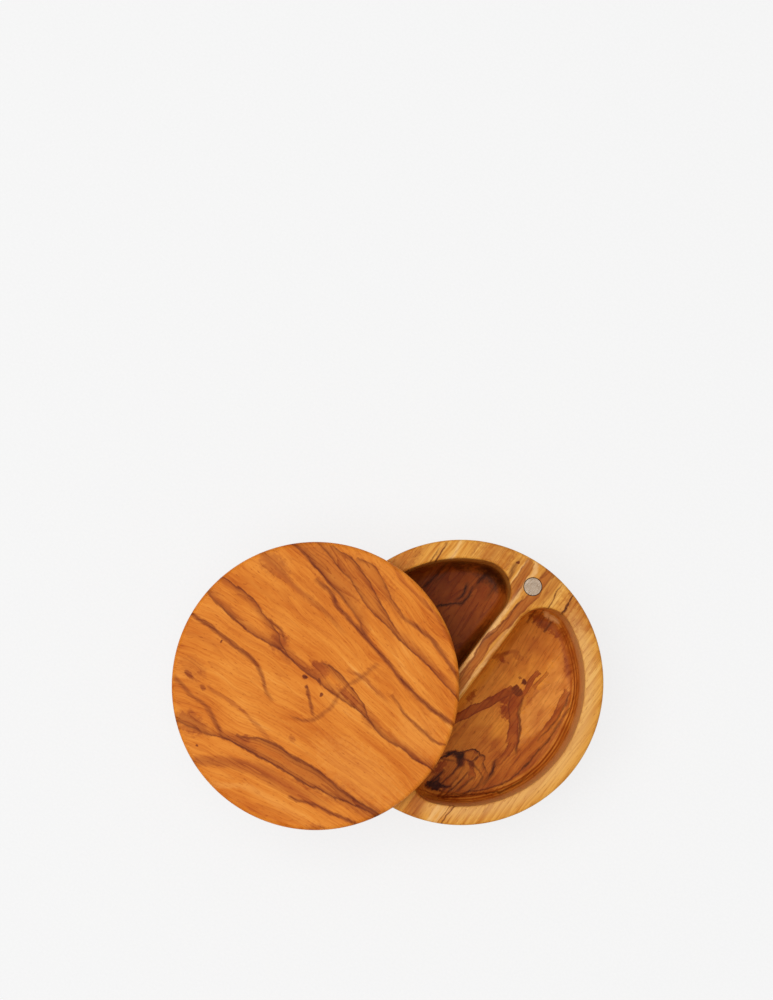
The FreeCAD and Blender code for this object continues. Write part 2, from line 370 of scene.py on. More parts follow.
# edges of the figure are frayed by about a mm
fray = add_node(tree, "Mapping", {"Scale": (1 / 3.0, 1 / 8, 1 / 4)}, {"Vector": in_mm})
fray = add_node(tree, "TexNoise", {"Scale": 1.0, "Detail": 4.0, "Roughness": 0.62}, {"Vector": fray})
fray = add_node(tree, "VectorMath", {"operation": "MULTIPLY_ADD", 1: (3.4, 3.4, 0), 2: (-1.7, -1.7, 0)}, {0: fray.outputs["Color"]})
figure_point = add_node(tree, "VectorMath", {"operation": "ADD"}, {0: in_mm, 1: fray})
ragged = add_node(tree, "TexNoise", {"Scale": 0.45, "Detail": 4.0, "Roughness": 0.65}, {"Vector": in_mm})
ragged = add_node(tree, "Math", {"operation": "MULTIPLY_ADD", 1: 3.0, 2: -1.5}, {0: ragged})
figure_axes = add_node(tree, "SeparateXYZ", {}, {0: figure_point})
x_mm, y_mm = figure_axes.outputs[0], figure_axes.outputs[1]
height_mm = add_node(tree, "SeparateXYZ", {}, {0: in_mm}).outputs[2]

ground, tones = grow_grain(
    tree,
    grain_point,
    {
        "patches": (11, 60, 2),      # soft light and dark areas
        "bands": (2.2, 80, 3),       # year rings cut lengthwise
        "fibres": (0.6, 16, 3),      # bundles of fibres
        "pores": (0.35, 3.2, 1),     # short dark pores
    },
    {"patches": 0.5, "bands": 0.85, "fibres": 0.65},
    [(0.1, "#A85A16"), (0.3, "#CC7E28"), (0.48, "#DE983E"), (0.64, "#E8A64A"), (0.84, "#EFB762")],
    (8, 120),
    12,
)

rim_veins = [
    ("line", 0.26, [(16.4, 47, 0), (17.4, 49.5, 0.7), (17.0, 55, 0.9), (16.4, 61, 0.7)]),
    ("line", 0.24, [(11.4, 48, 0), (11, 50, 0.7), (10.7, 52, 0.5), (9.8, 55, 0.6), (9.6, 60, 0.4), (9.4, 62, 0)]),
    ("line", 0.26, [(30.0, -44, 0), (30.2, -48, 0.7), (30.4, -57, 0.7)]),
    ("line", 0.22, [(28.5, -43, 0), (28.7, -46, 0.6), (28.8, -52, 0.4), (28.9, -55, 0)]),
    ("band", 1.3, [(15, -46, 0), (16.5, -50, 0.55), (18, -57, 0.6), (19, -63, 0.5)]),
    ("pale", 0.5, [(24, -44, 0.3), (24.6, -50, 0.9), (25.5, -58, 0.6)]),
    ("pale", 0.3, [(27, -44, 0.3), (27.3, -50, 0.8), (27.6, -56, 0.5)]),
    ("stain", 0.75, [(-5.4, 42, 0), (-5.8, 46, 0.6), (-6.4, 52, 0.75), (-6.9, 57, 0.7), (-7.4, 61, 0.2)]),
    ("line", 0.7, [(-10.4, 46, 0), (-11, 49, 0.45), (-11.6, 53, 0.5), (-12, 57, 0.3), (-12, 60, 0)]),
    ("stain", 0.8, [(2.4, 54, 0.3), (2.4, 58, 0.7), (2, 63, 0.7)]),
    ("band", 0.8, [(6.2, 46, 0), (6.6, 50, 0.4), (6.8, 56, 0.5), (6.4, 63, 0.3)]),
    ("stain", 0.78, [(2.4, 52, 0.7), (2.4, 47, 0.85), (1.4, 43, 0.9), (0.8, 38, 0.85), (0.6, 33, 0.9), (-0.4, 28, 0.8), (-1.4, 23, 0.9), (-1.2, 17, 0.8), (-0.6, 10, 0.8), (0, -4, 0.5)]),
    ("line", 0.3, [(-0.4, 46, 0), (-0.8, 41, 0.6), (-0.6, 36, 0.7), (-1.2, 31, 0.7), (-1.6, 27, 0.6), (-2.8, 22, 0.6), (-2.6, 16, 0.5), (-2, 9, 0.4)]),
    ("pale", 0.42, [(-5.2, 63, 0.8), (-4.2, 60, 0.9), (-3.2, 57, 0.9), (-3.8, 52, 0.7), (-3.6, 47, 0.9), (-3.4, 40, 0.9), (-3.4, 28, 1), (-3.6, 14, 0.8), (-3.4, -10, 0.7)]),
    ("pale", 0.25, [(-9, 62, 0.3), (-8.8, 56, 0.7), (-8.6, 48, 0.4), (-8, 44, 0)]),
    ("pale", 0.3, [(2.9, 38, 0), (3, 30, 0.4), (3, 20, 0.5), (2.8, 8, 0.7), (2.6, -12, 0.7)]),
    ("line", 0.35, [(-40.6, 32, 0), (-40.6, 35, 0.6), (-40.9, 39, 0.8), (-41.4, 43, 0.5), (-42, 46, 0)]),
    ("line", 0.3, [(-42.6, 33, 0), (-42.8, 36, 0.6), (-43, 40, 0.3), (-43.4, 43, 0)]),
    ("pale", 0.3, [(-36.4, 39, 0), (-36.2, 42, 0.8), (-36.8, 46, 0.8), (-37.8, 50, 0.5)]),
]
figure_top = draw_veins(tree, x_mm, y_mm, rim_veins)
figure_top = draw_spots(tree, figure_point, ragged, 0.1, [
    (24, 56, 14, 10, 0, (0, 0.42, 0)),
    # painted shadow: the next two spots darken the rim on the lid's side, standing in for the shade the lid casts there
    (-22, 54, 12, 8, 15, (0, 0.38, 0)),
    (-54, 26, 8, 22, 8, (0, 0.42, 0)),
    (-11.7, 57, 0.9, 0.8, 0, (0.6, 1, 0)),
    (1, 30, 5, 40, 0, (0, 0.22, 0)),
], figure_top)
high_enough = add_node(tree, "MapRange", {"interpolation_type": "SMOOTHSTEP", "From Min": 34.0, "From Max": 46.0}, {"Value": height_mm})
figure_top = add_node(tree, "Mix", {"data_type": "RGBA", 6: (0, 0, 0, 1)}, {0: high_enough, 7: figure_top}).outputs[2]

floor_veins = [
    ("stain", 0.76, [(21.4, 13, 0.8), (19.8, 9, 1), (18.2, 5, 1), (16.1, 0, 1), (12.9, -5, 1), (10.8, -10, 1), (8.8, -14, 0.9), (7.2, -18, 0.4), (6, -24, 0)]),
    ("stain", 1.05, [(24.2, 13, 0.5), (25.2, 8.5, 0.95), (27.4, 4.5, 1), (30.2, 1, 1), (33, -2.5, 1), (34.4, -5, 1), (35.3, -7.5, 0.9), (35.9, -9.5, 0.4), (36, -11.5, 0)]),
    ("stain", 0.5, [(35.6, -6, 0), (36, -8.5, 0.9), (36.3, -11, 1), (36.3, -14, 0.9), (36.2, -17, 0.8), (35.8, -19.5, 0.8), (36.2, -22, 0.5), (36.4, -25, 0)]),
    ("line", 0.8, [(35, -16.5, 0), (35.2, -19, 0.7), (35.8, -21, 0.95), (36.4, -23, 1), (36.6, -25.5, 0.8), (36.4, -28.5, 0.5), (36.6, -31, 0)]),
    ("line", 0.55, [(27, 12.5, 0), (28.2, 9.2, 0.6), (29.6, 6.2, 0.6), (31.2, 3.8, 0.7), (33.6, 1.4, 0.7), (35.4, -0.7, 0.7), (36.6, -3.2, 0.7), (37.8, -5.8, 0.7), (38.8, -8.2, 0.7), (39.6, -9.6, 0.4), (40, -11, 0)]),
    ("stain", 0.36, [(38.4, -6.8, 0), (40.8, -8.9, 0.8), (41.2, -11, 0.85), (41, -14, 0.8), (40.8, -17, 0.7), (40.5, -20, 0.6), (40, -25, 0.5), (38.6, -29, 0.5), (36.6, -32.2, 0.5), (34, -36, 0.5), (31, -40, 0.5), (27.6, -43, 0.4), (24, -45.5, 0)]),
    ("stain", 0.42, [(25.9, 25.8, 0), (25.9, 24.4, 0.95), (25.8, 21, 1), (26.1, 18, 1), (26.6, 15, 1), (26.4, 12, 0.8)]),
    ("stain", 0.32, [(29.6, 28, 0.2), (29, 25, 0.65), (28.8, 22, 0.75), (28.8, 19.5, 0.8), (28.8, 18, 0)]),
    ("stain", 0.5, [(41.2, 27, 0), (41.8, 25.4, 0.8), (42.7, 21, 0.85), (43.5, 17, 0.9), (43.8, 13, 0.9), (43.9, 9, 0.85), (44.1, 6, 0.7), (44.3, 3, 0)]),
    ("line", 0.4, [(42.6, 26.5, 0), (43.6, 23.5, 0.5), (44.8, 19.5, 0.6), (45.4, 15, 0.6), (45.3, 10, 0.6), (44.8, 6, 0.6), (44.3, 3, 0.5), (44.2, 0, 0)]),
    ("line", 0.42, [(43.4, 29.5, 0), (45, 26.8, 0.4), (46.6, 22, 0.45), (47.4, 15, 0.55), (47.8, 8, 0.6), (47.6, 0, 0.7), (47.2, -7, 0.75), (46.8, -13, 0.75), (45.6, -19, 0.75), (43.4, -24, 0.7), (40.6, -28.4, 0.7), (37.4, -32.6, 0.7), (34.4, -35.8, 0.7), (30, -40.4, 0.6), (26, -44, 0)]),
    ("line", 0.5, [(50.4, -10, 0), (49.6, -15.6, 0.5), (47.8, -22, 0.7), (45, -27, 0.7), (41, -31.5, 0.7), (35.5, -36.8, 0.7), (31, -41, 0.7), (26.7, -44.6, 0.6), (22, -47.5, 0.4)]),
    ("band", 0.5, [(43.2, -27, 0), (40.5, -31, 0.6), (37, -35, 0.8), (33, -39.2, 0.85), (28.6, -43.2, 0.85), (24, -46.2, 0.8), (18, -48, 0.7)]),
    ("line", 0.75, [(19.9, -22.5, 0), (20.3, -24, 0.9), (21, -26, 1), (21.8, -28, 1), (22.8, -29.8, 0.9), (23.2, -31.5, 0)]),
    ("line", 0.55, [(27, -20.6, 0), (26.8, -22.4, 0.9), (26.6, -23.8, 0.7), (25.4, -25.6, 0.4), (24.6, -27, 0)]),
    ("stain", 0.5, [(26, -24.4, 0), (27, -26.2, 0.8), (28.6, -28, 0.9), (30.2, -30.2, 0.8), (31, -33, 0)]),
    ("line", 0.45, [(33.6, -26.6, 0), (34.2, -28.4, 0.5), (34.8, -31, 0.55), (34.4, -34, 0.55), (33.2, -37, 0.55), (31.4, -40, 0.5), (29, -43, 0.4), (26.5, -45, 0)]),
    ("line", 0.45, [(22.8, -29, 0.3), (22.7, -32, 0.7), (22.2, -36, 0.75), (21.6, -40, 0.8), (20.6, -45, 0.5)]),
    ("line", 0.4, [(25, -28.4, 0.2), (25.1, -33, 0.5), (24.8, -38, 0.6), (23.8, -43, 0.6), (23, -47, 0.4)]),
    ("line", 0.45, [(27.8, -29, 0.4), (27.5, -34, 0.75), (26.8, -38, 0.8), (25.8, -43, 0.7), (24.6, -46.6, 0.4)]),
    ("line", 0.4, [(30.6, -30, 0.3), (30.2, -34, 0.6), (29.2, -38, 0.6), (27.6, -42.4, 0.5), (26, -45.6, 0.3)]),
    ("line", 0.7, [(18.9, -35, 0), (18.6, -37, 0.8), (18.2, -39, 1), (17.6, -41, 1), (17, -43.5, 1), (16.4, -46.5, 0.9)]),
    ("line", 1.1, [(19, -38.6, 0), (18.8, -40.6, 0.9), (18.4, -42.6, 1), (18, -44.4, 0.9), (17.2, -47, 0.4)]),
    ("line", 0.5, [(8.2, 39.5, 0), (7.9, 42.5, 0.6), (8, 48, 0.6)]),
    ("line", 0.4, [(11.2, 41, 0), (11.1, 44, 0.5), (11.2, 50, 0.5)]),
    ("line", 0.45, [(13.4, 41.6, 0), (13.1, 44, 0.6), (13.2, 47.6, 0.5)]),
    ("line", 0.5, [(17.4, 40.8, 0), (17.1, 43.2, 0.8), (17.2, 47.4, 0.7)]),
    ("band", 0.45, [(11.6, 27, 0), (10.5, 25, 0.6), (8.8, 22.4, 0.75), (7.4, 20.2, 0.7), (6.4, 17.5, 0)]),
    ("line", 0.75, [(-23.8, 40, 0), (-23.7, 37, 0.7), (-22.9, 34.6, 1), (-22.3, 32.8, 1), (-22.4, 31, 0.9), (-22.9, 29.4, 0.7), (-23.4, 27, 0)]),
    ("line", 0.8, [(-21.4, 39, 0), (-20.5, 36, 0.8), (-19.9, 33.6, 0.9), (-19.9, 31.4, 0.9), (-20.6, 29, 0.9), (-22.3, 27.2, 0.9), (-24.3, 25.8, 1), (-26.2, 24, 1), (-28, 22, 0.8), (-31, 18, 0.5)]),
    ("line", 0.7, [(-36.4, 40, 0.3), (-37.4, 36, 0.8), (-37.5, 32, 0.8), (-37.8, 28, 0.8), (-38.6, 24, 0.6)]),
    ("pale", 0.18, [(-37.6, 40, 0.3), (-38.8, 36, 0.6), (-39.4, 31, 0.7), (-40.2, 25, 0.3)]),
    ("line", 0.8, [(-34.6, 42, 0.3), (-34.8, 36, 0.6), (-35.4, 31, 0.4), (-35.6, 28, 0)]),
    ("line", 0.7, [(-19.6, 48, 0.9), (-19.7, 43, 0.9), (-20, 40, 0.6), (-20.2, 37, 0)]),
    ("line", 0.9, [(-13, 47, 0.8), (-12.6, 42, 0.7), (-13, 38, 0.4), (-13, 35, 0)]),
]
figure_low = draw_veins(tree, x_mm, y_mm, floor_veins)
# a few stripes of the figure run across the grain
across_veins = [
    ("left", 0.5, [(-33, 13, 0.8), (-31, 14.5, 0.95), (-28.4, 16, 1), (-26, 18, 1), (-24, 19.6, 1), (-22.8, 21, 1), (-21.3, 23, 0.95), (-20, 25, 0.95), (-19.6, 26.4, 0.9), (-20.3, 27.4, 0.8), (-19.8, 28.4, 0.8), (-19.8, 29.6, 0.8), (-22, 30.4, 0.7), (-23.3, 31.4, 0.7), (-23.7, 33, 0.5), (-24.4, 34.6, 0.4), (-26, 36, 0)]),
    ("line", 0.8, [(-33.4, 13, 0.8), (-31, 15, 1), (-28.2, 17, 1), (-25.8, 19, 1), (-24.6, 20.4, 0.7), (-24, 22, 0)]),
    ("line", 0.5, [(-27.6, 21.6, 0), (-26.8, 23, 0.8), (-25.8, 24.4, 0.8), (-25.2, 26, 0.6), (-25.4, 28, 0.5), (-26.4, 30.4, 0.5), (-27.2, 32.4, 0.5), (-27.4, 34, 0)]),
    ("line", 0.8, [(-44.2, 16.4, 0.7), (-43.2, 19, 1), (-42.2, 21, 1), (-41.4, 23, 1), (-40.5, 24.6, 0.8), (-39.6, 26, 0)]),
    ("line", 0.5, [(-32.6, 14.4, 0.3), (-31.4, 16.4, 0.5), (-29.8, 19, 0.5), (-28.6, 21, 0.3), (-28, 22.4, 0)]),
]
figure_low = draw_veins(tree, y_mm, x_mm, across_veins, figure_low)
figure_low = draw_spots(tree, figure_point, ragged, 0.25, [
    (22.4, 7.4, 5.6, 4.6, 0, (0.05, 0.9, 0)),
    (25.4, 1.6, 4.6, 2.9, -25, (0.05, 0.9, 0)),
    (23.4, 12.6, 3.1, 2.2, 0, (0.5, 1, 0)),
    (23.5, 17.6, 1.8, 1.7, 0, (0.6, 1, 0)),
    (20.8, 18.2, 1.2, 0.9, 0, (0.3, 0.6, 0)),
    (28.4, 12.5, 3.6, 10, 0, (0, 0.42, 0)),
    # partly yellower wood and partly painted light: the next two pale spots lighten the right of the floor, away from
    # the lid
    (36, 12, 8, 22, 0, (0, 0, 0.18)),
    (36, 30, 9, 14, 30, (0, 0, 0.15)),
    (23, -33.5, 11, 13, 0, (0.03, 0.5, 0)),
    (16.6, -35.4, 2.6, 5, 0, (0.1, 0.9, 0)),
    (19.6, -43.6, 4.4, 2.4, 25, (0.9, 1, 0)),
    (8.4, -2, 1.9, 4.6, -5, (0.1, 0.85, 0)),
    (9.6, 20.2, 3.4, 1.3, 0, (0, 0.75, 0)),
    (14.5, 26, 4.2, 2.2, 0, (0, 0.45, 0)),
    # painted shade: the next two brown spots darken the floor inside the fork and towards the lid
    (17, -10, 8, 11, 20, (0, 0.2, 0)),
    (26, -26, 24, 16, 0, (0, 0.3, 0)),
    (18, 45, 15, 3.4, 0, (0.08, 0.8, 0)),
    # painted highlight: the next pale spot is a glint of the soft box on the round floor edge at the pocket's far end
    (16, 48.4, 5.6, 1.7, 0, (0, 0, 0.9)),
    (-24.6, 25.4, 2.2, 1.4, 40, (0.5, 1, 0)),
], figure_low)
# these ones fade out softly
soft_ragged = add_node(tree, "Math", {"operation": "MULTIPLY", 1: 0.5}, {0: ragged})
figure_low = draw_spots(tree, figure_point, soft_ragged, -0.1, [
    (20.7, -25.8, 3.0, 3.2, 0, (0.95, 1, 0)),
    (22.8, -28.6, 2.2, 2.6, 20, (0.8, 1, 0)),
    (17.0, -27.6, 4.6, 1.7, 42, (0.95, 1, 0)),
    (27.0, -25.8, 2.8, 2.0, -40, (0.6, 1, 0)),
    # painted shade: this near-black spot darkens the left pocket's floor edge under its upper wall
    (-16, 50, 18, 9, 0, (0.9, 1, 0)),
    (34, 37.5, 13, 3.5, -45, (0.08, 0.8, 0)),
    # painted shade: this near-black spot darkens the left pocket's upper corner
    (-33, 46, 10, 8, -40, (0.8, 1, 0)),
    (-5.6, 15, 4, 20, 0, (0.6, 1, 0)),
], figure_low)
# the wood under the left pocket is all heartwood
left_side = add_node(tree, "MapRange", {"interpolation_type": "SMOOTHSTEP", "From Min": -1.0, "From Max": -5.0}, {"Value": x_mm})
figure_low = add_node(
    tree, "Mix", {"data_type": "RGBA", "blend_type": "LIGHTEN", 7: (0.08, 0.92, 0, 1)}, {0: left_side, 6: figure_low}
).outputs[2]
low_enough = add_node(tree, "MapRange", {"interpolation_type": "SMOOTHSTEP", "From Min": 21.0, "From Max": 13.5}, {"Value": height_mm})
# the figure lies inside the block, so it shows neither on its side nor on its underside
above_foot = add_node(tree, "MapRange", {"From Min": 7.0, "From Max": 11.0}, {"Value": height_mm})
from_axis = add_node(tree, "VectorMath", {"operation": "MULTIPLY", 1: (1, 1, 0)}, {0: in_mm})
from_axis = add_node(tree, "VectorMath", {"operation": "LENGTH"}, {0: from_axis})
inside = add_node(tree, "MapRange", {"From Min": 61.0, "From Max": 57.0}, {"Value": from_axis.outputs["Value"]})
low_enough = add_node(tree, "Math", {"operation": "MULTIPLY"}, {0: low_enough, 1: above_foot})
low_enough = add_node(tree, "Math", {"operation": "MULTIPLY"}, {0: low_enough, 1: inside})
figure_low = add_node(tree, "Mix", {"data_type": "RGBA", 6: (0, 0, 0, 1)}, {0: low_enough, 7: figure_low}).outputs[2]

# year rings lie nearly level under the pockets, so the round floor edge cuts them into
# nested contour lines that crowd together towards the wall; above these lines the ramp
# turns pale, painted light that makes the upright wall look lit
ring_level = add_node(tree, "Mapping", {"Scale": (1 / 30, 1 / 40, 1 / 30)}, {"Vector": in_mm})
ring_level = add_node(tree, "TexNoise", {"Scale": 1.0, "Detail": 2.0, "Roughness": 0.4}, {"Vector": ring_level})
ring_level = add_node(tree, "Math", {"operation": "MULTIPLY_ADD", 1: 1.6}, {0: ring_level, 2: height_mm})
ring_level = add_node(tree, "MapRange", {"From Min": 12.9, "From Max": 20.9}, {"Value": ring_level})
rings = add_node(tree, "ValToRGB", {}, {"Fac": ring_level})
fill_ramp(rings, [
    (0.0, (0, 0, 0, 1)), (0.02, (0, 0.6, 0, 1)), (0.05, (0.05, 0.75, 0, 1)), (0.08, (0, 0.2, 0.1, 1)),
    (0.11, (0, 0.2, 0.1, 1)), (0.135, (0.2, 0.9, 0, 1)), (0.165, (0.2, 0.9, 0, 1)), (0.19, (0, 0.3, 0.1, 1)),
    (0.23, (0, 0.3, 0.1, 1)), (0.26, (0.15, 0.85, 0, 1)), (0.33, (0, 0.65, 0, 1)), (0.38, (0, 0.3, 0.1, 1)),
    # painted light: from here on the stops turn the upright wall pale
    (0.42, (0, 0.3, 0.1, 1)), (0.46, (0.05, 0.65, 0, 1)), (0.55, (0, 0.3, 0.2, 1)), (0.65, (0, 0, 0.6, 1)),
    (0.8, (0, 0, 1, 1)), (1.0, (0, 0, 1, 1)),
])
rings_and_wall_light_side = add_node(tree, "MapRange", {"interpolation_type": "SMOOTHSTEP", "From Min": 12.0, "From Max": 28.0}, {"Value": x_mm})
not_rim = add_node(tree, "MapRange", {"From Min": 51.5, "From Max": 48.0, "To Min": 0.5}, {"Value": height_mm})
rings_and_wall_light_side = add_node(tree, "Math", {"operation": "MULTIPLY"}, {0: rings_and_wall_light_side, 1: not_rim})
rings_and_wall_light_side = add_node(tree, "Math", {"operation": "MULTIPLY"}, {0: rings_and_wall_light_side, 1: inside})
ring_figure_and_painted_wall_light = add_node(tree, "Mix", {"data_type": "RGBA", 6: (0, 0, 0, 1)}, {0: rings_and_wall_light_side, 7: rings}).outputs[2]

lighten = {"data_type": "RGBA", "blend_type": "LIGHTEN"}
figure = add_node(tree, "Mix", {**lighten, 0: 1.0}, {6: figure_top, 7: figure_low}).outputs[2]
figure = add_node(tree, "Mix", {**lighten, 0: 1.0}, {6: figure, 7: ring_figure_and_painted_wall_light}).outputs[2]
amounts = add_node(tree, "SeparateColor", {}, {0: figure})
# the floors are cut down into browner wood
deep = add_node(tree, "MapRange", {"From Min": 24.0, "From Max": 14.0, "To Max": 0.8}, {"Value": height_mm})
colour = add_node(tree, "Mix", {"data_type": "RGBA", 7: paint("#E59430")}, {0: deep, 6: ground}).outputs[2]
for amount, most, shade in ((2, 0.6, "#F6C888"), (1, 0.88, "#A2420F"), (0, 0.95, "#1C0803")):
    part = add_node(tree, "Math", {"operation": "MULTIPLY", 1: most}, {0: amounts.outputs[amount]})
    colour = add_node(tree, "Mix", {"data_type": "RGBA", 7: paint(shade)}, {0: part, 6: colour}).outputs[2]
# smoky clouds in the floors
clouds = add_node(tree, "Mapping", {"Scale": (1 / 5, 1 / 9, 1 / 9)}, {"Vector": figure_point})
clouds = add_node(tree, "TexNoise", {"Scale": 1.0, "Detail": 2.0, "Roughness": 0.5}, {"Vector": clouds})
clouds = add_node(tree, "MapRange", {"From Min": 0.36, "From Max": 0.66}, {"Value": clouds})
clouds = add_node(tree, "Math", {"operation": "MULTIPLY"}, {0: clouds, 1: deep})
clouds = add_node(tree, "Math", {"operation": "MULTIPLY", 1: 0.6}, {0: clouds})
colour = add_node(
    tree, "Mix", {"data_type": "RGBA", "blend_type": "MULTIPLY", 7: paint("#C07C48")}, {0: clouds, 6: colour}
).outputs[2]
finish_wood(tree, colour, amounts.outputs[1], tones, (0.3, 0.5), 0.45, (0.34, 0.48))
base_block.data.materials.clear()
base_block.data.materials.append(base_wood)
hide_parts("base_body")
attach(base_block, "base")


# CATCH MAGNET IN THE RIM
# Stock disc magnet, pressed neodymium powder under nickel plate, glued into the rim a hair
# below the wood. The plate is dull and finely scratched from the lid sliding over it.
nickel, tree = new_material("scratched_nickel_plate")
where = add_node(tree, "TexCoord")
in_mm = add_node(tree, "VectorMath", {"operation": "SCALE", "Scale": 1000.0}, {0: where.outputs["Object"]})
clouds = add_node(tree, "TexNoise", {"Scale": 0.6, "Detail": 3.0}, {"Vector": in_mm})
# painted reflection: the plate's warm brown tint stands in for the wood that it mirrors
tint = add_node(tree, "ValToRGB", {}, {"Fac": clouds})
fill_ramp(tint, [(0.3, paint("#756352")), (0.5, paint("#8B7967")), (0.7, paint("#978472"))])
scratches = None
for turn in (15, 62, 118, 160):
    streak = add_node(tree, "Mapping", {"Rotation": (0, 0, math.radians(turn)), "Scale": (1 / 0.12, 1 / 4, 1 / 4)}, {"Vector": in_mm})
    streak = add_node(tree, "TexNoise", {"Scale": 1.0, "Detail": 1.0}, {"Vector": streak})
    streak = add_node(tree, "MapRange", {"From Min": 0.62, "From Max": 0.72}, {"Value": streak})
    scratches = streak if scratches is None else add_node(tree, "Math", {"operation": "MAXIMUM"}, {0: scratches, 1: streak})
scratched = add_node(tree, "Math", {"operation": "MULTIPLY", 1: 0.35}, {0: scratches})
plate = add_node(tree, "Mix", {"data_type": "RGBA", 7: paint("#EADFD2")}, {0: scratched, 6: tint}).outputs[2]
bump = add_node(tree, "Bump", {"Strength": 0.3, "Distance": 0.00002}, {"Height": scratches})
rough = add_node(tree, "MapRange", {"To Min": 0.36, "To Max": 0.56}, {"Value": clouds})
nickel_shader = add_node(tree, "BsdfPrincipled", {"Metallic": 1.0}, {"Base Color": plate, "Roughness": rough, "Normal": bump})
add_node(tree, "OutputMaterial", {}, {"Surface": nickel_shader})
base_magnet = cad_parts["base_magnet"]
base_magnet.data.materials.clear()
base_magnet.data.materials.append(nickel)


# SLIP WASHER
# Thin white nylon washer let into the rim round the pivot. The lid turns on it. It is
# stamped from sheet, so its faces are matt.
nylon, tree = new_material("stamped_white_nylon")
where = add_node(tree, "TexCoord")
in_mm = add_node(tree, "VectorMath", {"operation": "SCALE", "Scale": 1000.0}, {0: where.outputs["Object"]})
grit = add_node(tree, "TexNoise", {"Scale": 4.0, "Detail": 4.0}, {"Vector": in_mm})
tint = add_node(tree, "ValToRGB", {}, {"Fac": grit})
fill_ramp(tint, [(0.35, paint("#D9D5C8")), (0.65, paint("#ECE9DF"))])
bump = add_node(tree, "Bump", {"Strength": 0.2, "Distance": 0.00003}, {"Height": grit})
nylon_shader = add_node(
    tree,
    "BsdfPrincipled",
    {"Roughness": 0.55, "IOR": 1.53, "Subsurface Weight": 0.15, "Subsurface Scale": 0.001},
    {"Base Color": tint, "Normal": bump},
)
add_node(tree, "OutputMaterial", {}, {"Surface": nylon_shader})
slip_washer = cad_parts["slip_washer"]
slip_washer.data.materials.clear()
slip_washer.data.materials.append(nylon)


# HEAD WASHER AND PIVOT SCREW
# M5 button-head machine screw and its flat washer, both steel with bright zinc plate. The
# screw is put in from below and locked into the lid, and the washer spreads its load.
zinc, tree = new_material("bright_zinc_plate")
where = add_node(tree, "TexCoord")
in_mm = add_node(tree, "VectorMath", {"operation": "SCALE", "Scale": 1000.0}, {0: where.outputs["Object"]})
spangle = add_node(tree, "TexNoise", {"Scale": 0.9, "Detail": 3.0}, {"Vector": in_mm})
tint = add_node(tree, "ValToRGB", {}, {"Fac": spangle})
fill_ramp(tint, [(0.3, paint("#B9BDC4")), (0.55, paint("#CFD2D6")), (0.75, paint("#D8D6CC"))])
turning = add_node(tree, "Mapping", {"Location": (0, 51, 0)}, {"Vector": in_mm})
turning = add_node(tree, "TexWave", {"wave_type": "RINGS", "rings_direction": "Z", "Scale": 1.6, "Distortion": 0.6}, {"Vector": turning})
bump = add_node(tree, "Bump", {"Strength": 0.15, "Distance": 0.00002}, {"Height": turning})
rough = add_node(tree, "MapRange", {"To Min": 0.24, "To Max": 0.38}, {"Value": spangle})
zinc_shader = add_node(tree, "BsdfPrincipled", {"Metallic": 1.0}, {"Base Color": tint, "Roughness": rough, "Normal": bump})
add_node(tree, "OutputMaterial", {}, {"Surface": zinc_shader})
for name in ("head_washer", "pivot_screw"):
    steel_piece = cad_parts[name]
    steel_piece.data.materials.clear()
    steel_piece.data.materials.append(zinc)


# SWIVEL LID
# Flat disc turned from a board of olive wood with strong dark veins, sanded and oiled. Its
# upper edge is rounded over. The stored pose has it swung 77 degrees open round the pivot.
lid_turn = math.radians(77)
pivot_to_middle = -pivot_place[1]
lid_place = (-pivot_to_middle * math.sin(lid_turn), pivot_place[1] + pivot_to_middle * math.cos(lid_turn))
lid_low = 0.05295
lid_high = 0.06545
lid_under_round = 0.0009
lid_top_round = 0.0018
insert_hole = (0.00405, 0.06255)
flange_hole = (0.0053, 0.05395)
lid_magnet_recess = (0.00415, 0.0561)
catch_to_pivot = catch_place[1] - pivot_place[1]
lid_catch_place = (-catch_to_pivot * math.sin(lid_turn), pivot_place[1] + catch_to_pivot * math.cos(lid_turn))

lid_disc = turn_disc("lid_disc", lid_place, block_radius, lid_low, lid_high, lid_under_round, lid_top_round)
cut(lid_disc, post(pivot_place, flange_hole[0], lid_low - 0.001, flange_hole[1]))
cut(lid_disc, post(pivot_place, insert_hole[0], lid_low - 0.001, insert_hole[1]))
cut(lid_disc, post(lid_catch_place, lid_magnet_recess[0], lid_low - 0.001, lid_magnet_recess[1]))
smooth(lid_disc)

lid_wood, tree = new_material("oiled_olive_wood_lid")
where = add_node(tree, "TexCoord")
in_mm = add_node(
    tree,
    "Mapping",
    {"vector_type": "TEXTURE", "Location": (lid_place[0], lid_place[1], lid_high), "Rotation": (0, 0, lid_turn), "Scale": (0.001, 0.001, 0.001)},
    {"Vector": where.outputs["Object"]},
)
# the rings stand at a slant in the board, so the figure moves sideways with depth
lean = add_node(tree, "SeparateXYZ", {}, {0: in_mm})
lean = add_node(tree, "Math", {"operation": "MULTIPLY", 1: -0.45}, {0: lean.outputs[2]})
lean = add_node(tree, "CombineXYZ", {}, {0: lean})
slanted = add_node(tree, "VectorMath", {"operation": "ADD"}, {0: in_mm, 1: lean})
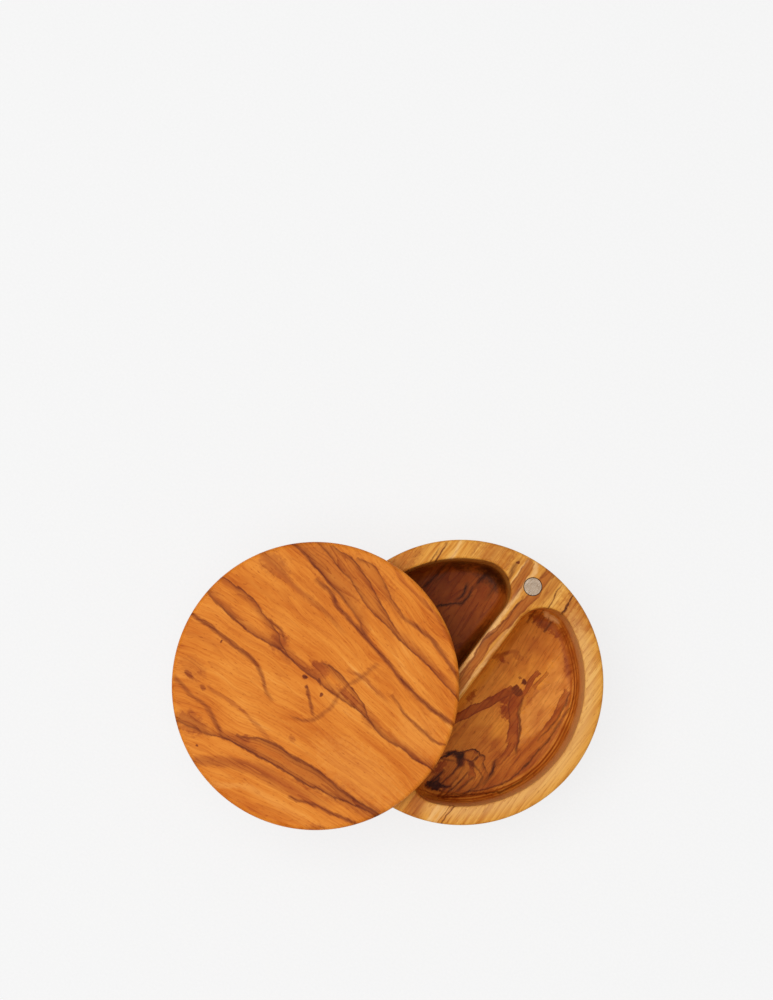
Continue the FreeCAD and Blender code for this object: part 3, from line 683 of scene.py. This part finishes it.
# the grain runs at a slant on the left and nearly straight on the right
axes = add_node(tree, "SeparateXYZ", {}, {0: slanted})
slope = add_node(tree, "MapRange", {"From Min": -45.0, "From Max": 40.0, "To Min": 0.44, "To Max": 0.0}, {"Value": axes.outputs[0]})
shift = add_node(tree, "Math", {"operation": "MULTIPLY"}, {0: slope, 1: axes.outputs[1]})
shift = add_node(tree, "CombineXYZ", {}, {0: shift})
straight = add_node(tree, "VectorMath", {"operation": "ADD"}, {0: slanted, 1: shift})
wander = add_node(tree, "Mapping", {"Scale": (1 / 16, 1 / 34, 1 / 20)}, {"Vector": slanted})
wander = add_node(tree, "TexNoise", {"Scale": 1.0, "Detail": 2.0, "Roughness": 0.5}, {"Vector": wander})
wander = add_node(tree, "VectorMath", {"operation": "MULTIPLY_ADD", 1: (7, 0, 0), 2: (-3.5, 0, 0)}, {0: wander.outputs["Color"]})
grain_point = add_node(tree, "VectorMath", {"operation": "ADD"}, {0: straight, 1: wander})
fray = add_node(tree, "Mapping", {"Scale": (1 / 2.4, 1 / 7, 1 / 3)}, {"Vector": slanted})
fray = add_node(tree, "TexNoise", {"Scale": 1.0, "Detail": 4.0, "Roughness": 0.62}, {"Vector": fray})
fray = add_node(tree, "VectorMath", {"operation": "MULTIPLY_ADD", 1: (2.6, 2.6, 0), 2: (-1.3, -1.3, 0)}, {0: fray.outputs["Color"]})
figure_point = add_node(tree, "VectorMath", {"operation": "ADD"}, {0: slanted, 1: fray})
figure_axes = add_node(tree, "SeparateXYZ", {}, {0: figure_point})
x_mm, y_mm = figure_axes.outputs[0], figure_axes.outputs[1]

ragged = add_node(tree, "TexNoise", {"Scale": 0.45, "Detail": 4.0, "Roughness": 0.65}, {"Vector": slanted})
ragged = add_node(tree, "Math", {"operation": "MULTIPLY_ADD", 1: 2.4, 2: -1.2}, {0: ragged})
ground, tones = grow_grain(
    tree,
    grain_point,
    {
        "patches": (12, 36, 2),
        "bands": (3.0, 60, 3),
        "fibres": (0.55, 9, 3),
        "pores": (0.35, 2.6, 1),
    },
    {"patches": 0.75, "bands": 0.6, "fibres": 0.48},
    [(0.12, "#B0500F"), (0.32, "#CE6C1A"), (0.5, "#E08229"), (0.66, "#EA9034"), (0.84, "#F4A64F")],
    (7, 90),
    11,
)

lid_veins = [
    ("right", 0.7, [(-57, 30, 0.5), (-55.7, 27.3, 0.7), (-49.8, 14.8, 0.7), (-44.8, 8.2, 0.95), (-41.5, 0.7, 1), (-39, -6.8, 0.95), (-35.7, -14.3, 0.9), (-33.2, -21.8, 0.9), (-30.7, -29.3, 0.9), (-27.3, -36, 0.9), (-24, -43.5, 0.9), (-19.8, -51, 1), (-16.5, -57.7, 1), (-14.5, -63, 1)]),
    ("left", 0.9, [(-40, 6, 0), (-39, 4, 0.7), (-34.8, -0.2, 0.75), (-30.7, -6, 0.85), (-28.2, -13.5, 0.9), (-25.7, -21, 0.9), (-23.2, -28.5, 0.9), (-21.5, -36, 0.9), (-19.8, -44.3, 0.95), (-15, -59, 1)]),
    ("line", 0.7, [(-39.5, -29, 0), (-38.2, -31.8, 0.7), (-34, -37.7, 0.8), (-30.7, -45.2, 0.8), (-27.3, -51.8, 0.8), (-23.4, -60, 0.8)]),
    ("band", 1.2, [(-64, 11, 0.7), (-62.3, 9.8, 0.7), (-49.8, -1.8, 0.7), (-43.2, -11, 0.6), (-36.5, -27.7, 0.6), (-30.7, -40.2, 0.3), (-28, -46, 0)]),
    ("pale", 0.7, [(-62, -3, 0.5), (-59, -6.8, 0.7), (-51.5, -13.5, 0.8), (-47.3, -23.5, 0.7), (-42.3, -36, 0.4), (-39, -44, 0)]),
    ("line", 0.8, [(-44.4, 43, 0), (-44.4, 39.8, 0.5), (-44, 32.3, 0.5), (-42.3, 24, 0.5), (-43.6, 14, 0.6), (-44.8, 10, 0.5), (-45, 7, 0)]),
    ("band", 0.4, [(-48.6, 28, 0), (-49, 24, 0.6), (-49.4, 17.3, 0.6), (-49, 12, 0)]),
    ("band", 0.35, [(-35.9, 30, 0), (-35.7, 27.3, 0.5), (-32.3, 17.3, 0.6), (-30.7, 5.7, 0.5), (-30.3, -2.7, 0.4), (-30, -7, 0)]),
    ("line", 0.75, [(-21.6, 60, 0.7), (-20.7, 56, 0.8), (-18.6, 49, 0.85), (-17.3, 42.3, 0.8), (-15.7, 34.8, 0.85), (-14, 29, 0.8), (-14.8, 19, 0.6), (-17.8, 12.3, 0.5), (-18.3, 9.8, 0.4), (-18.6, 6, 0)]),
    ("right", 0.6, [(-9, 64, 0.6), (-9.8, 56.5, 0.6), (-9.4, 50.7, 0.7), (-8.2, 42.3, 0.75), (-6.5, 34, 0.8), (-4, 28.2, 0.85), (-1.9, 22.3, 0.9), (-1.1, 17.3, 0.85), (-0.3, 11.5, 0.9), (0.6, 6.5, 0.95), (1.8, 2.3, 0.95), (2.7, -2.7, 0.8), (4.3, -9.3, 0.75), (6, -15.2, 0.75), (7.7, -21, 0.8), (8.1, -26, 0.9), (7.7, -31.8, 0.75), (9.3, -39.3, 0.7), (11.4, -46, 0.85), (12.7, -52.7, 0.95), (14.8, -57.7, 0.9), (17, -64, 0.9)]),
    ("left", 0.5, [(-1.2, 64, 0.7), (-0.7, 61.5, 0.8), (1.4, 54.8, 0.9), (2.9, 47.3, 0.9), (2.7, 39, 0.8), (2.3, 34, 0.8), (1.8, 27.3, 0.8), (0.2, 24, 0.8), (-0.7, 19, 0.7), (-1, 14, 0)]),
    ("line", 0.6, [(2.5, 36, 0), (2.9, 33, 0.7), (3.9, 28.2, 0.7), (2.7, 24.8, 0.6), (1.6, 22, 0)]),
    ("left", 0.5, [(8, 6, 0), (9.8, 3.2, 0.7), (11, -2.7, 0.85), (11.4, -9.3, 0.85), (11, -16, 0.8), (9.8, -22.7, 0.8), (8.5, -26.8, 0.7), (8, -30, 0)]),
    ("band", 0.3, [(15.4, -3, 0), (16, -6, 0.5), (18.1, -11, 0.7), (18.5, -16, 0.7), (19.3, -22.7, 0.4), (20, -27, 0)]),
    ("line", 0.6, [(22.8, -24, 0), (22.7, -26, 0.4), (21.8, -36, 0.6), (23, -44.3, 0.7), (24.3, -51.8, 0.7), (27, -56, 0.5)]),
    ("band", 0.45, [(19.3, 60, 0.8), (19.3, 55.7, 0.8), (19.8, 47.3, 0.8), (21, 36.5, 0.7), (22.7, 27.3, 0.6), (23.9, 20.7, 0.5), (24.3, 14, 0.3), (24.6, 8, 0)]),
    ("line", 0.8, [(29.8, 36, 0), (30.2, 32.3, 0.7), (31, 25.7, 0.8), (29.3, 20.7, 0.95), (29.8, 14, 0.8), (30.2, 5.7, 0.85), (30.2, -2.7, 0.9), (30.6, -11, 0.85), (30.2, -19.3, 0.9), (30.6, -27.7, 0.85), (31.4, -36, 0.85), (32.7, -42.7, 0.9), (34.3, -48.5, 0.8), (36.5, -54, 0.7)]),
    ("right", 0.8, [(32, 56, 0.7), (32.3, 53.2, 0.8), (33.1, 43.2, 0.9), (33.1, 34.8, 1), (33.1, 28.2, 0.9), (33.5, 20, 0.7), (33.1, 14, 0.6), (32.7, 9, 0.6), (31, 5.7, 0.6), (30.4, 2, 0)]),
    ("right", 0.55, [(41, 48, 0.6), (41, 44.8, 0.7), (40.6, 36.5, 0.8), (41, 27.3, 0.7), (40.2, 19, 0.7), (39.3, 10.7, 0.8), (40.2, 2.3, 0.85), (40.6, -5.2, 0.8), (41.4, -12.7, 0.85), (42.7, -21, 0.85), (43.1, -29.3, 0.8), (43.5, -36.8, 0.8), (44.2, -46, 0.7)]),
    ("left", 0.6, [(44.6, 42, 0.4), (45.2, 38.2, 0.7), (47.7, 32.3, 0.8), (47.3, 25.7, 0.8), (46, 15.7, 0.8), (44.3, 9, 0.8), (43.5, 2.3, 0.75), (42.3, -2.7, 0.6), (42, -6, 0)]),
    ("line", 0.8, [(48.4, 0, 0), (48.9, -3.5, 0.5), (50.2, -9.3, 0.7), (51.4, -16, 0.75), (51, -24.3, 0.7), (50.6, -31.8, 0.7), (49.3, -38, 0.6)]),
    ("left", 0.5, [(49.6, 31, 0.4), (50.2, 29, 0.6), (52.7, 24, 0.6), (51.9, 17.3, 0.6), (50.2, 10.7, 0.7), (48.9, 2.3, 0.6), (48.4, -3, 0)]),
    ("band", 0.35, [(59.6, 20, 0.3), (59.3, 17.3, 0.5), (58.5, 9.8, 0.5), (59.3, -1, 0.6), (59.8, -9.3, 0.7), (58.5, -17.7, 0.7), (56.8, -28, 0.7)]),
    ("line", 0.6, [(-3, 3.4, 0), (-3.2, 1.9, 0.8), (-4.4, -0.2, 0.7), (-6.5, -4.3, 0.7), (-8.2, -7.7, 0.5), (-9, -10, 0)]),
]
figure = draw_veins(tree, x_mm, y_mm, lid_veins)
figure = draw_veins(tree, y_mm, x_mm, [
    ("line", 0.8, [(-2, -17, 0), (-5.2, -15.7, 0.4), (-9.3, -12.3, 0.4), (-11.4, -5.7, 0.35), (-11, 1, 0.35), (-8.9, 6.8, 0.35), (-9.8, 15.2, 0.35), (-10.2, 23.5, 0.3), (-10.2, 27, 0)]),
], figure)
figure = draw_spots(tree, figure_point, ragged, 0.1, [
    (-52, 22, 5.5, 9, 20, (0, 0.75, 0)),
    (-39, 39, 1.5, 3.2, 5, (0.25, 0.9, 0)),
    (-38, 31, 1.2, 2.2, 0, (0.2, 0.7, 0)),
    (-36, 40, 6, 8, 0, (0, 0.35, 0)),
    (-38.4, 1.5, 3, 3, 0, (0.1, 0.9, 0)),
    (-18.8, 41, 0.8, 0.7, 0, (1, 1, 0)),
    (-56.3, 13.2, 0.8, 0.8, 0, (0.8, 1, 0)),
    (-22.5, -11, 1.6, 2.4, 0, (0, 0.6, 0)),
    (0, 25, 5.5, 5, 0, (0.05, 0.85, 0)),
    (6, 4, 4.6, 5.5, 25, (0, 0.85, 0)),
    (8, -13, 2.0, 9, 5, (0, 0.95, 0)),
    (-1.1, 5.7, 1.1, 1.3, 30, (1, 1, 0)),
    (2.7, 0.6, 1.1, 1.5, -30, (1, 1, 0)),
    (-3.2, 1.9, 1.0, 0.9, 0, (0.9, 1, 0)),
    (-0.3, -4.6, 1.3, 0.8, 10, (0.9, 1, 0)),
    (20, 52, 6, 11, 0, (0, 0.6, 0)),
    (38, 34, 9, 24, 0, (0, 0.5, 0)),
    (47, 20, 8, 18, 10, (0, 0.45, 0)),
    (-26, -33, 6, 24, 22, (0, 0.55, 0)),
    (-40, -50, 5, 7, 30, (0, 0.6, 0)),
    (-10, -40, 13, 26, 12, (0, 0, 0.4)),
    (20, -45, 12, 14, 0, (0, 0, 0.35)),
], figure)
amounts = add_node(tree, "SeparateColor", {}, {0: figure})
colour = ground
for amount, most, shade in ((2, 0.6, "#F4A44C"), (1, 0.8, "#A04618"), (0, 0.75, "#682A10")):
    part = add_node(tree, "Math", {"operation": "MULTIPLY", 1: most}, {0: amounts.outputs[amount]})
    colour = add_node(tree, "Mix", {"data_type": "RGBA", 7: paint(shade)}, {0: part, 6: colour}).outputs[2]
finish_wood(tree, colour, amounts.outputs[1], tones, (0.22, 0.75), 0.5, (0.36, 0.5))
lid_disc.data.materials.clear()
lid_disc.data.materials.append(lid_wood)
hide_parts("swivel_lid")
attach(lid_disc, "lid")


# CATCH MAGNET IN THE LID
# The same stock disc as in the rim, glued into the lid's underside. It meets the other one
# when the lid is shut.
lid_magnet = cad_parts["lid_magnet"]
lid_magnet.data.materials.clear()
lid_magnet.data.materials.append(nickel)


# THREADED INSERT
# Brass insert turned from bar and pressed into the lid from below. Its flange lies flush
# with the lid's underside, and its barbs grip the wood.
brass, tree = new_material("turned_brass")
where = add_node(tree, "TexCoord")
in_mm = add_node(tree, "VectorMath", {"operation": "SCALE", "Scale": 1000.0}, {0: where.outputs["Object"]})
stain = add_node(tree, "TexNoise", {"Scale": 0.7, "Detail": 3.0}, {"Vector": in_mm})
tint = add_node(tree, "ValToRGB", {}, {"Fac": stain})
fill_ramp(tint, [(0.3, paint("#B68E45")), (0.6, paint("#D3AE63"))])
turning = add_node(tree, "Mapping", {"Location": (0, 51, 0)}, {"Vector": in_mm})
turning = add_node(tree, "TexWave", {"wave_type": "RINGS", "rings_direction": "Z", "Scale": 2.0}, {"Vector": turning})
bump = add_node(tree, "Bump", {"Strength": 0.2, "Distance": 0.00002}, {"Height": turning})
rough = add_node(tree, "MapRange", {"To Min": 0.22, "To Max": 0.4}, {"Value": stain})
brass_shader = add_node(tree, "BsdfPrincipled", {"Metallic": 1.0}, {"Base Color": tint, "Roughness": rough, "Normal": bump})
add_node(tree, "OutputMaterial", {}, {"Surface": brass_shader})
lid_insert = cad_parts["lid_insert"]
lid_insert.data.materials.clear()
lid_insert.data.materials.append(brass)


# STUDIO
# Pale grey sweep with a big soft box overhead, and a camera straight above the box, tilted
# a little, so that the box lies in the lower half of the upright picture.
bpy.ops.object.select_all(action="DESELECT")
bpy.ops.mesh.primitive_plane_add(size=8, location=(0, 0, 0))
floor = bpy.context.object
floor.name = floor.data.name = "studio_floor"
done(floor)
sweep, tree = new_material("pale_studio_paper")
where = add_node(tree, "TexCoord")
speckle = add_node(tree, "TexNoise", {"Scale": 900.0, "Detail": 2.0}, {"Vector": where.outputs["Object"]})
paper_colour = add_node(tree, "ValToRGB", {}, {"Fac": speckle})
fill_ramp(paper_colour, [(0.3, paint("#F6F6F6")), (0.7, paint("#F8F8F8"))])
lit_paper = add_node(tree, "BsdfDiffuse", {}, {"Color": paper_colour})
plain_paper = add_node(tree, "Emission", {"Strength": 1.0}, {"Color": paper_colour})
rays = add_node(tree, "LightPath")
seen = add_node(tree, "Math", {"operation": "MAXIMUM"}, {0: rays.outputs["Is Camera Ray"], 1: rays.outputs["Is Glossy Ray"]})
seen = add_node(tree, "Math", {"operation": "MAXIMUM"}, {0: seen, 1: rays.outputs["Is Transmission Ray"]})
plain_share = add_node(tree, "Math", {"operation": "MULTIPLY", 1: 0.86}, {0: seen})
paper = add_node(tree, "MixShader", {}, {0: plain_share, 1: lit_paper, 2: plain_paper})
add_node(tree, "OutputMaterial", {}, {"Surface": paper})
floor.data.materials.append(sweep)

world = bpy.data.worlds.new("studio_air")
bpy.context.scene.world = world
world.use_nodes = True
tree = world.node_tree
tree.nodes.clear()
rays = add_node(tree, "LightPath")
seen = add_node(tree, "Math", {"operation": "MAXIMUM"}, {0: rays.outputs["Is Camera Ray"], 1: rays.outputs["Is Transmission Ray"]})
fill_air = add_node(tree, "Background", {"Color": paint("#F6F6F6"), "Strength": 0.44})
seen_air = add_node(tree, "Background", {"Color": paint("#F6F6F6"), "Strength": 1.0})
air = add_node(tree, "MixShader", {}, {0: seen, 1: fill_air, 2: seen_air})
add_node(tree, "OutputWorld", {}, {"Surface": air})

# the soft box stands on the lid's side, so the open pocket's far wall is lit and the shut one lies in shade
soft_box_place = Vector((-0.3, -0.2, 1.5))
bpy.ops.object.light_add(type="AREA", location=soft_box_place, rotation=soft_box_place.to_track_quat("Z", "Y").to_euler())
soft_box = bpy.context.object
soft_box.name = "soft_box"
soft_box.data.shape = "SQUARE"
soft_box.data.size = 1.1
soft_box.data.energy = 15

photo_up_turn = math.radians(90 - 52.9)
camera_tilt = math.radians(3.545)
camera_height = 1.3525
camera_foot = (-0.02568, -0.0202)
bpy.ops.object.camera_add(location=(*camera_foot, camera_height), rotation=(camera_tilt, 0, photo_up_turn))
camera = bpy.context.object
camera.name = "studio_camera"
camera.data.sensor_width = 36
camera.data.lens = 106.6
camera.data.clip_start = 0.01
bpy.context.scene.camera = camera

bpy.context.scene.view_settings.view_transform = "Standard"
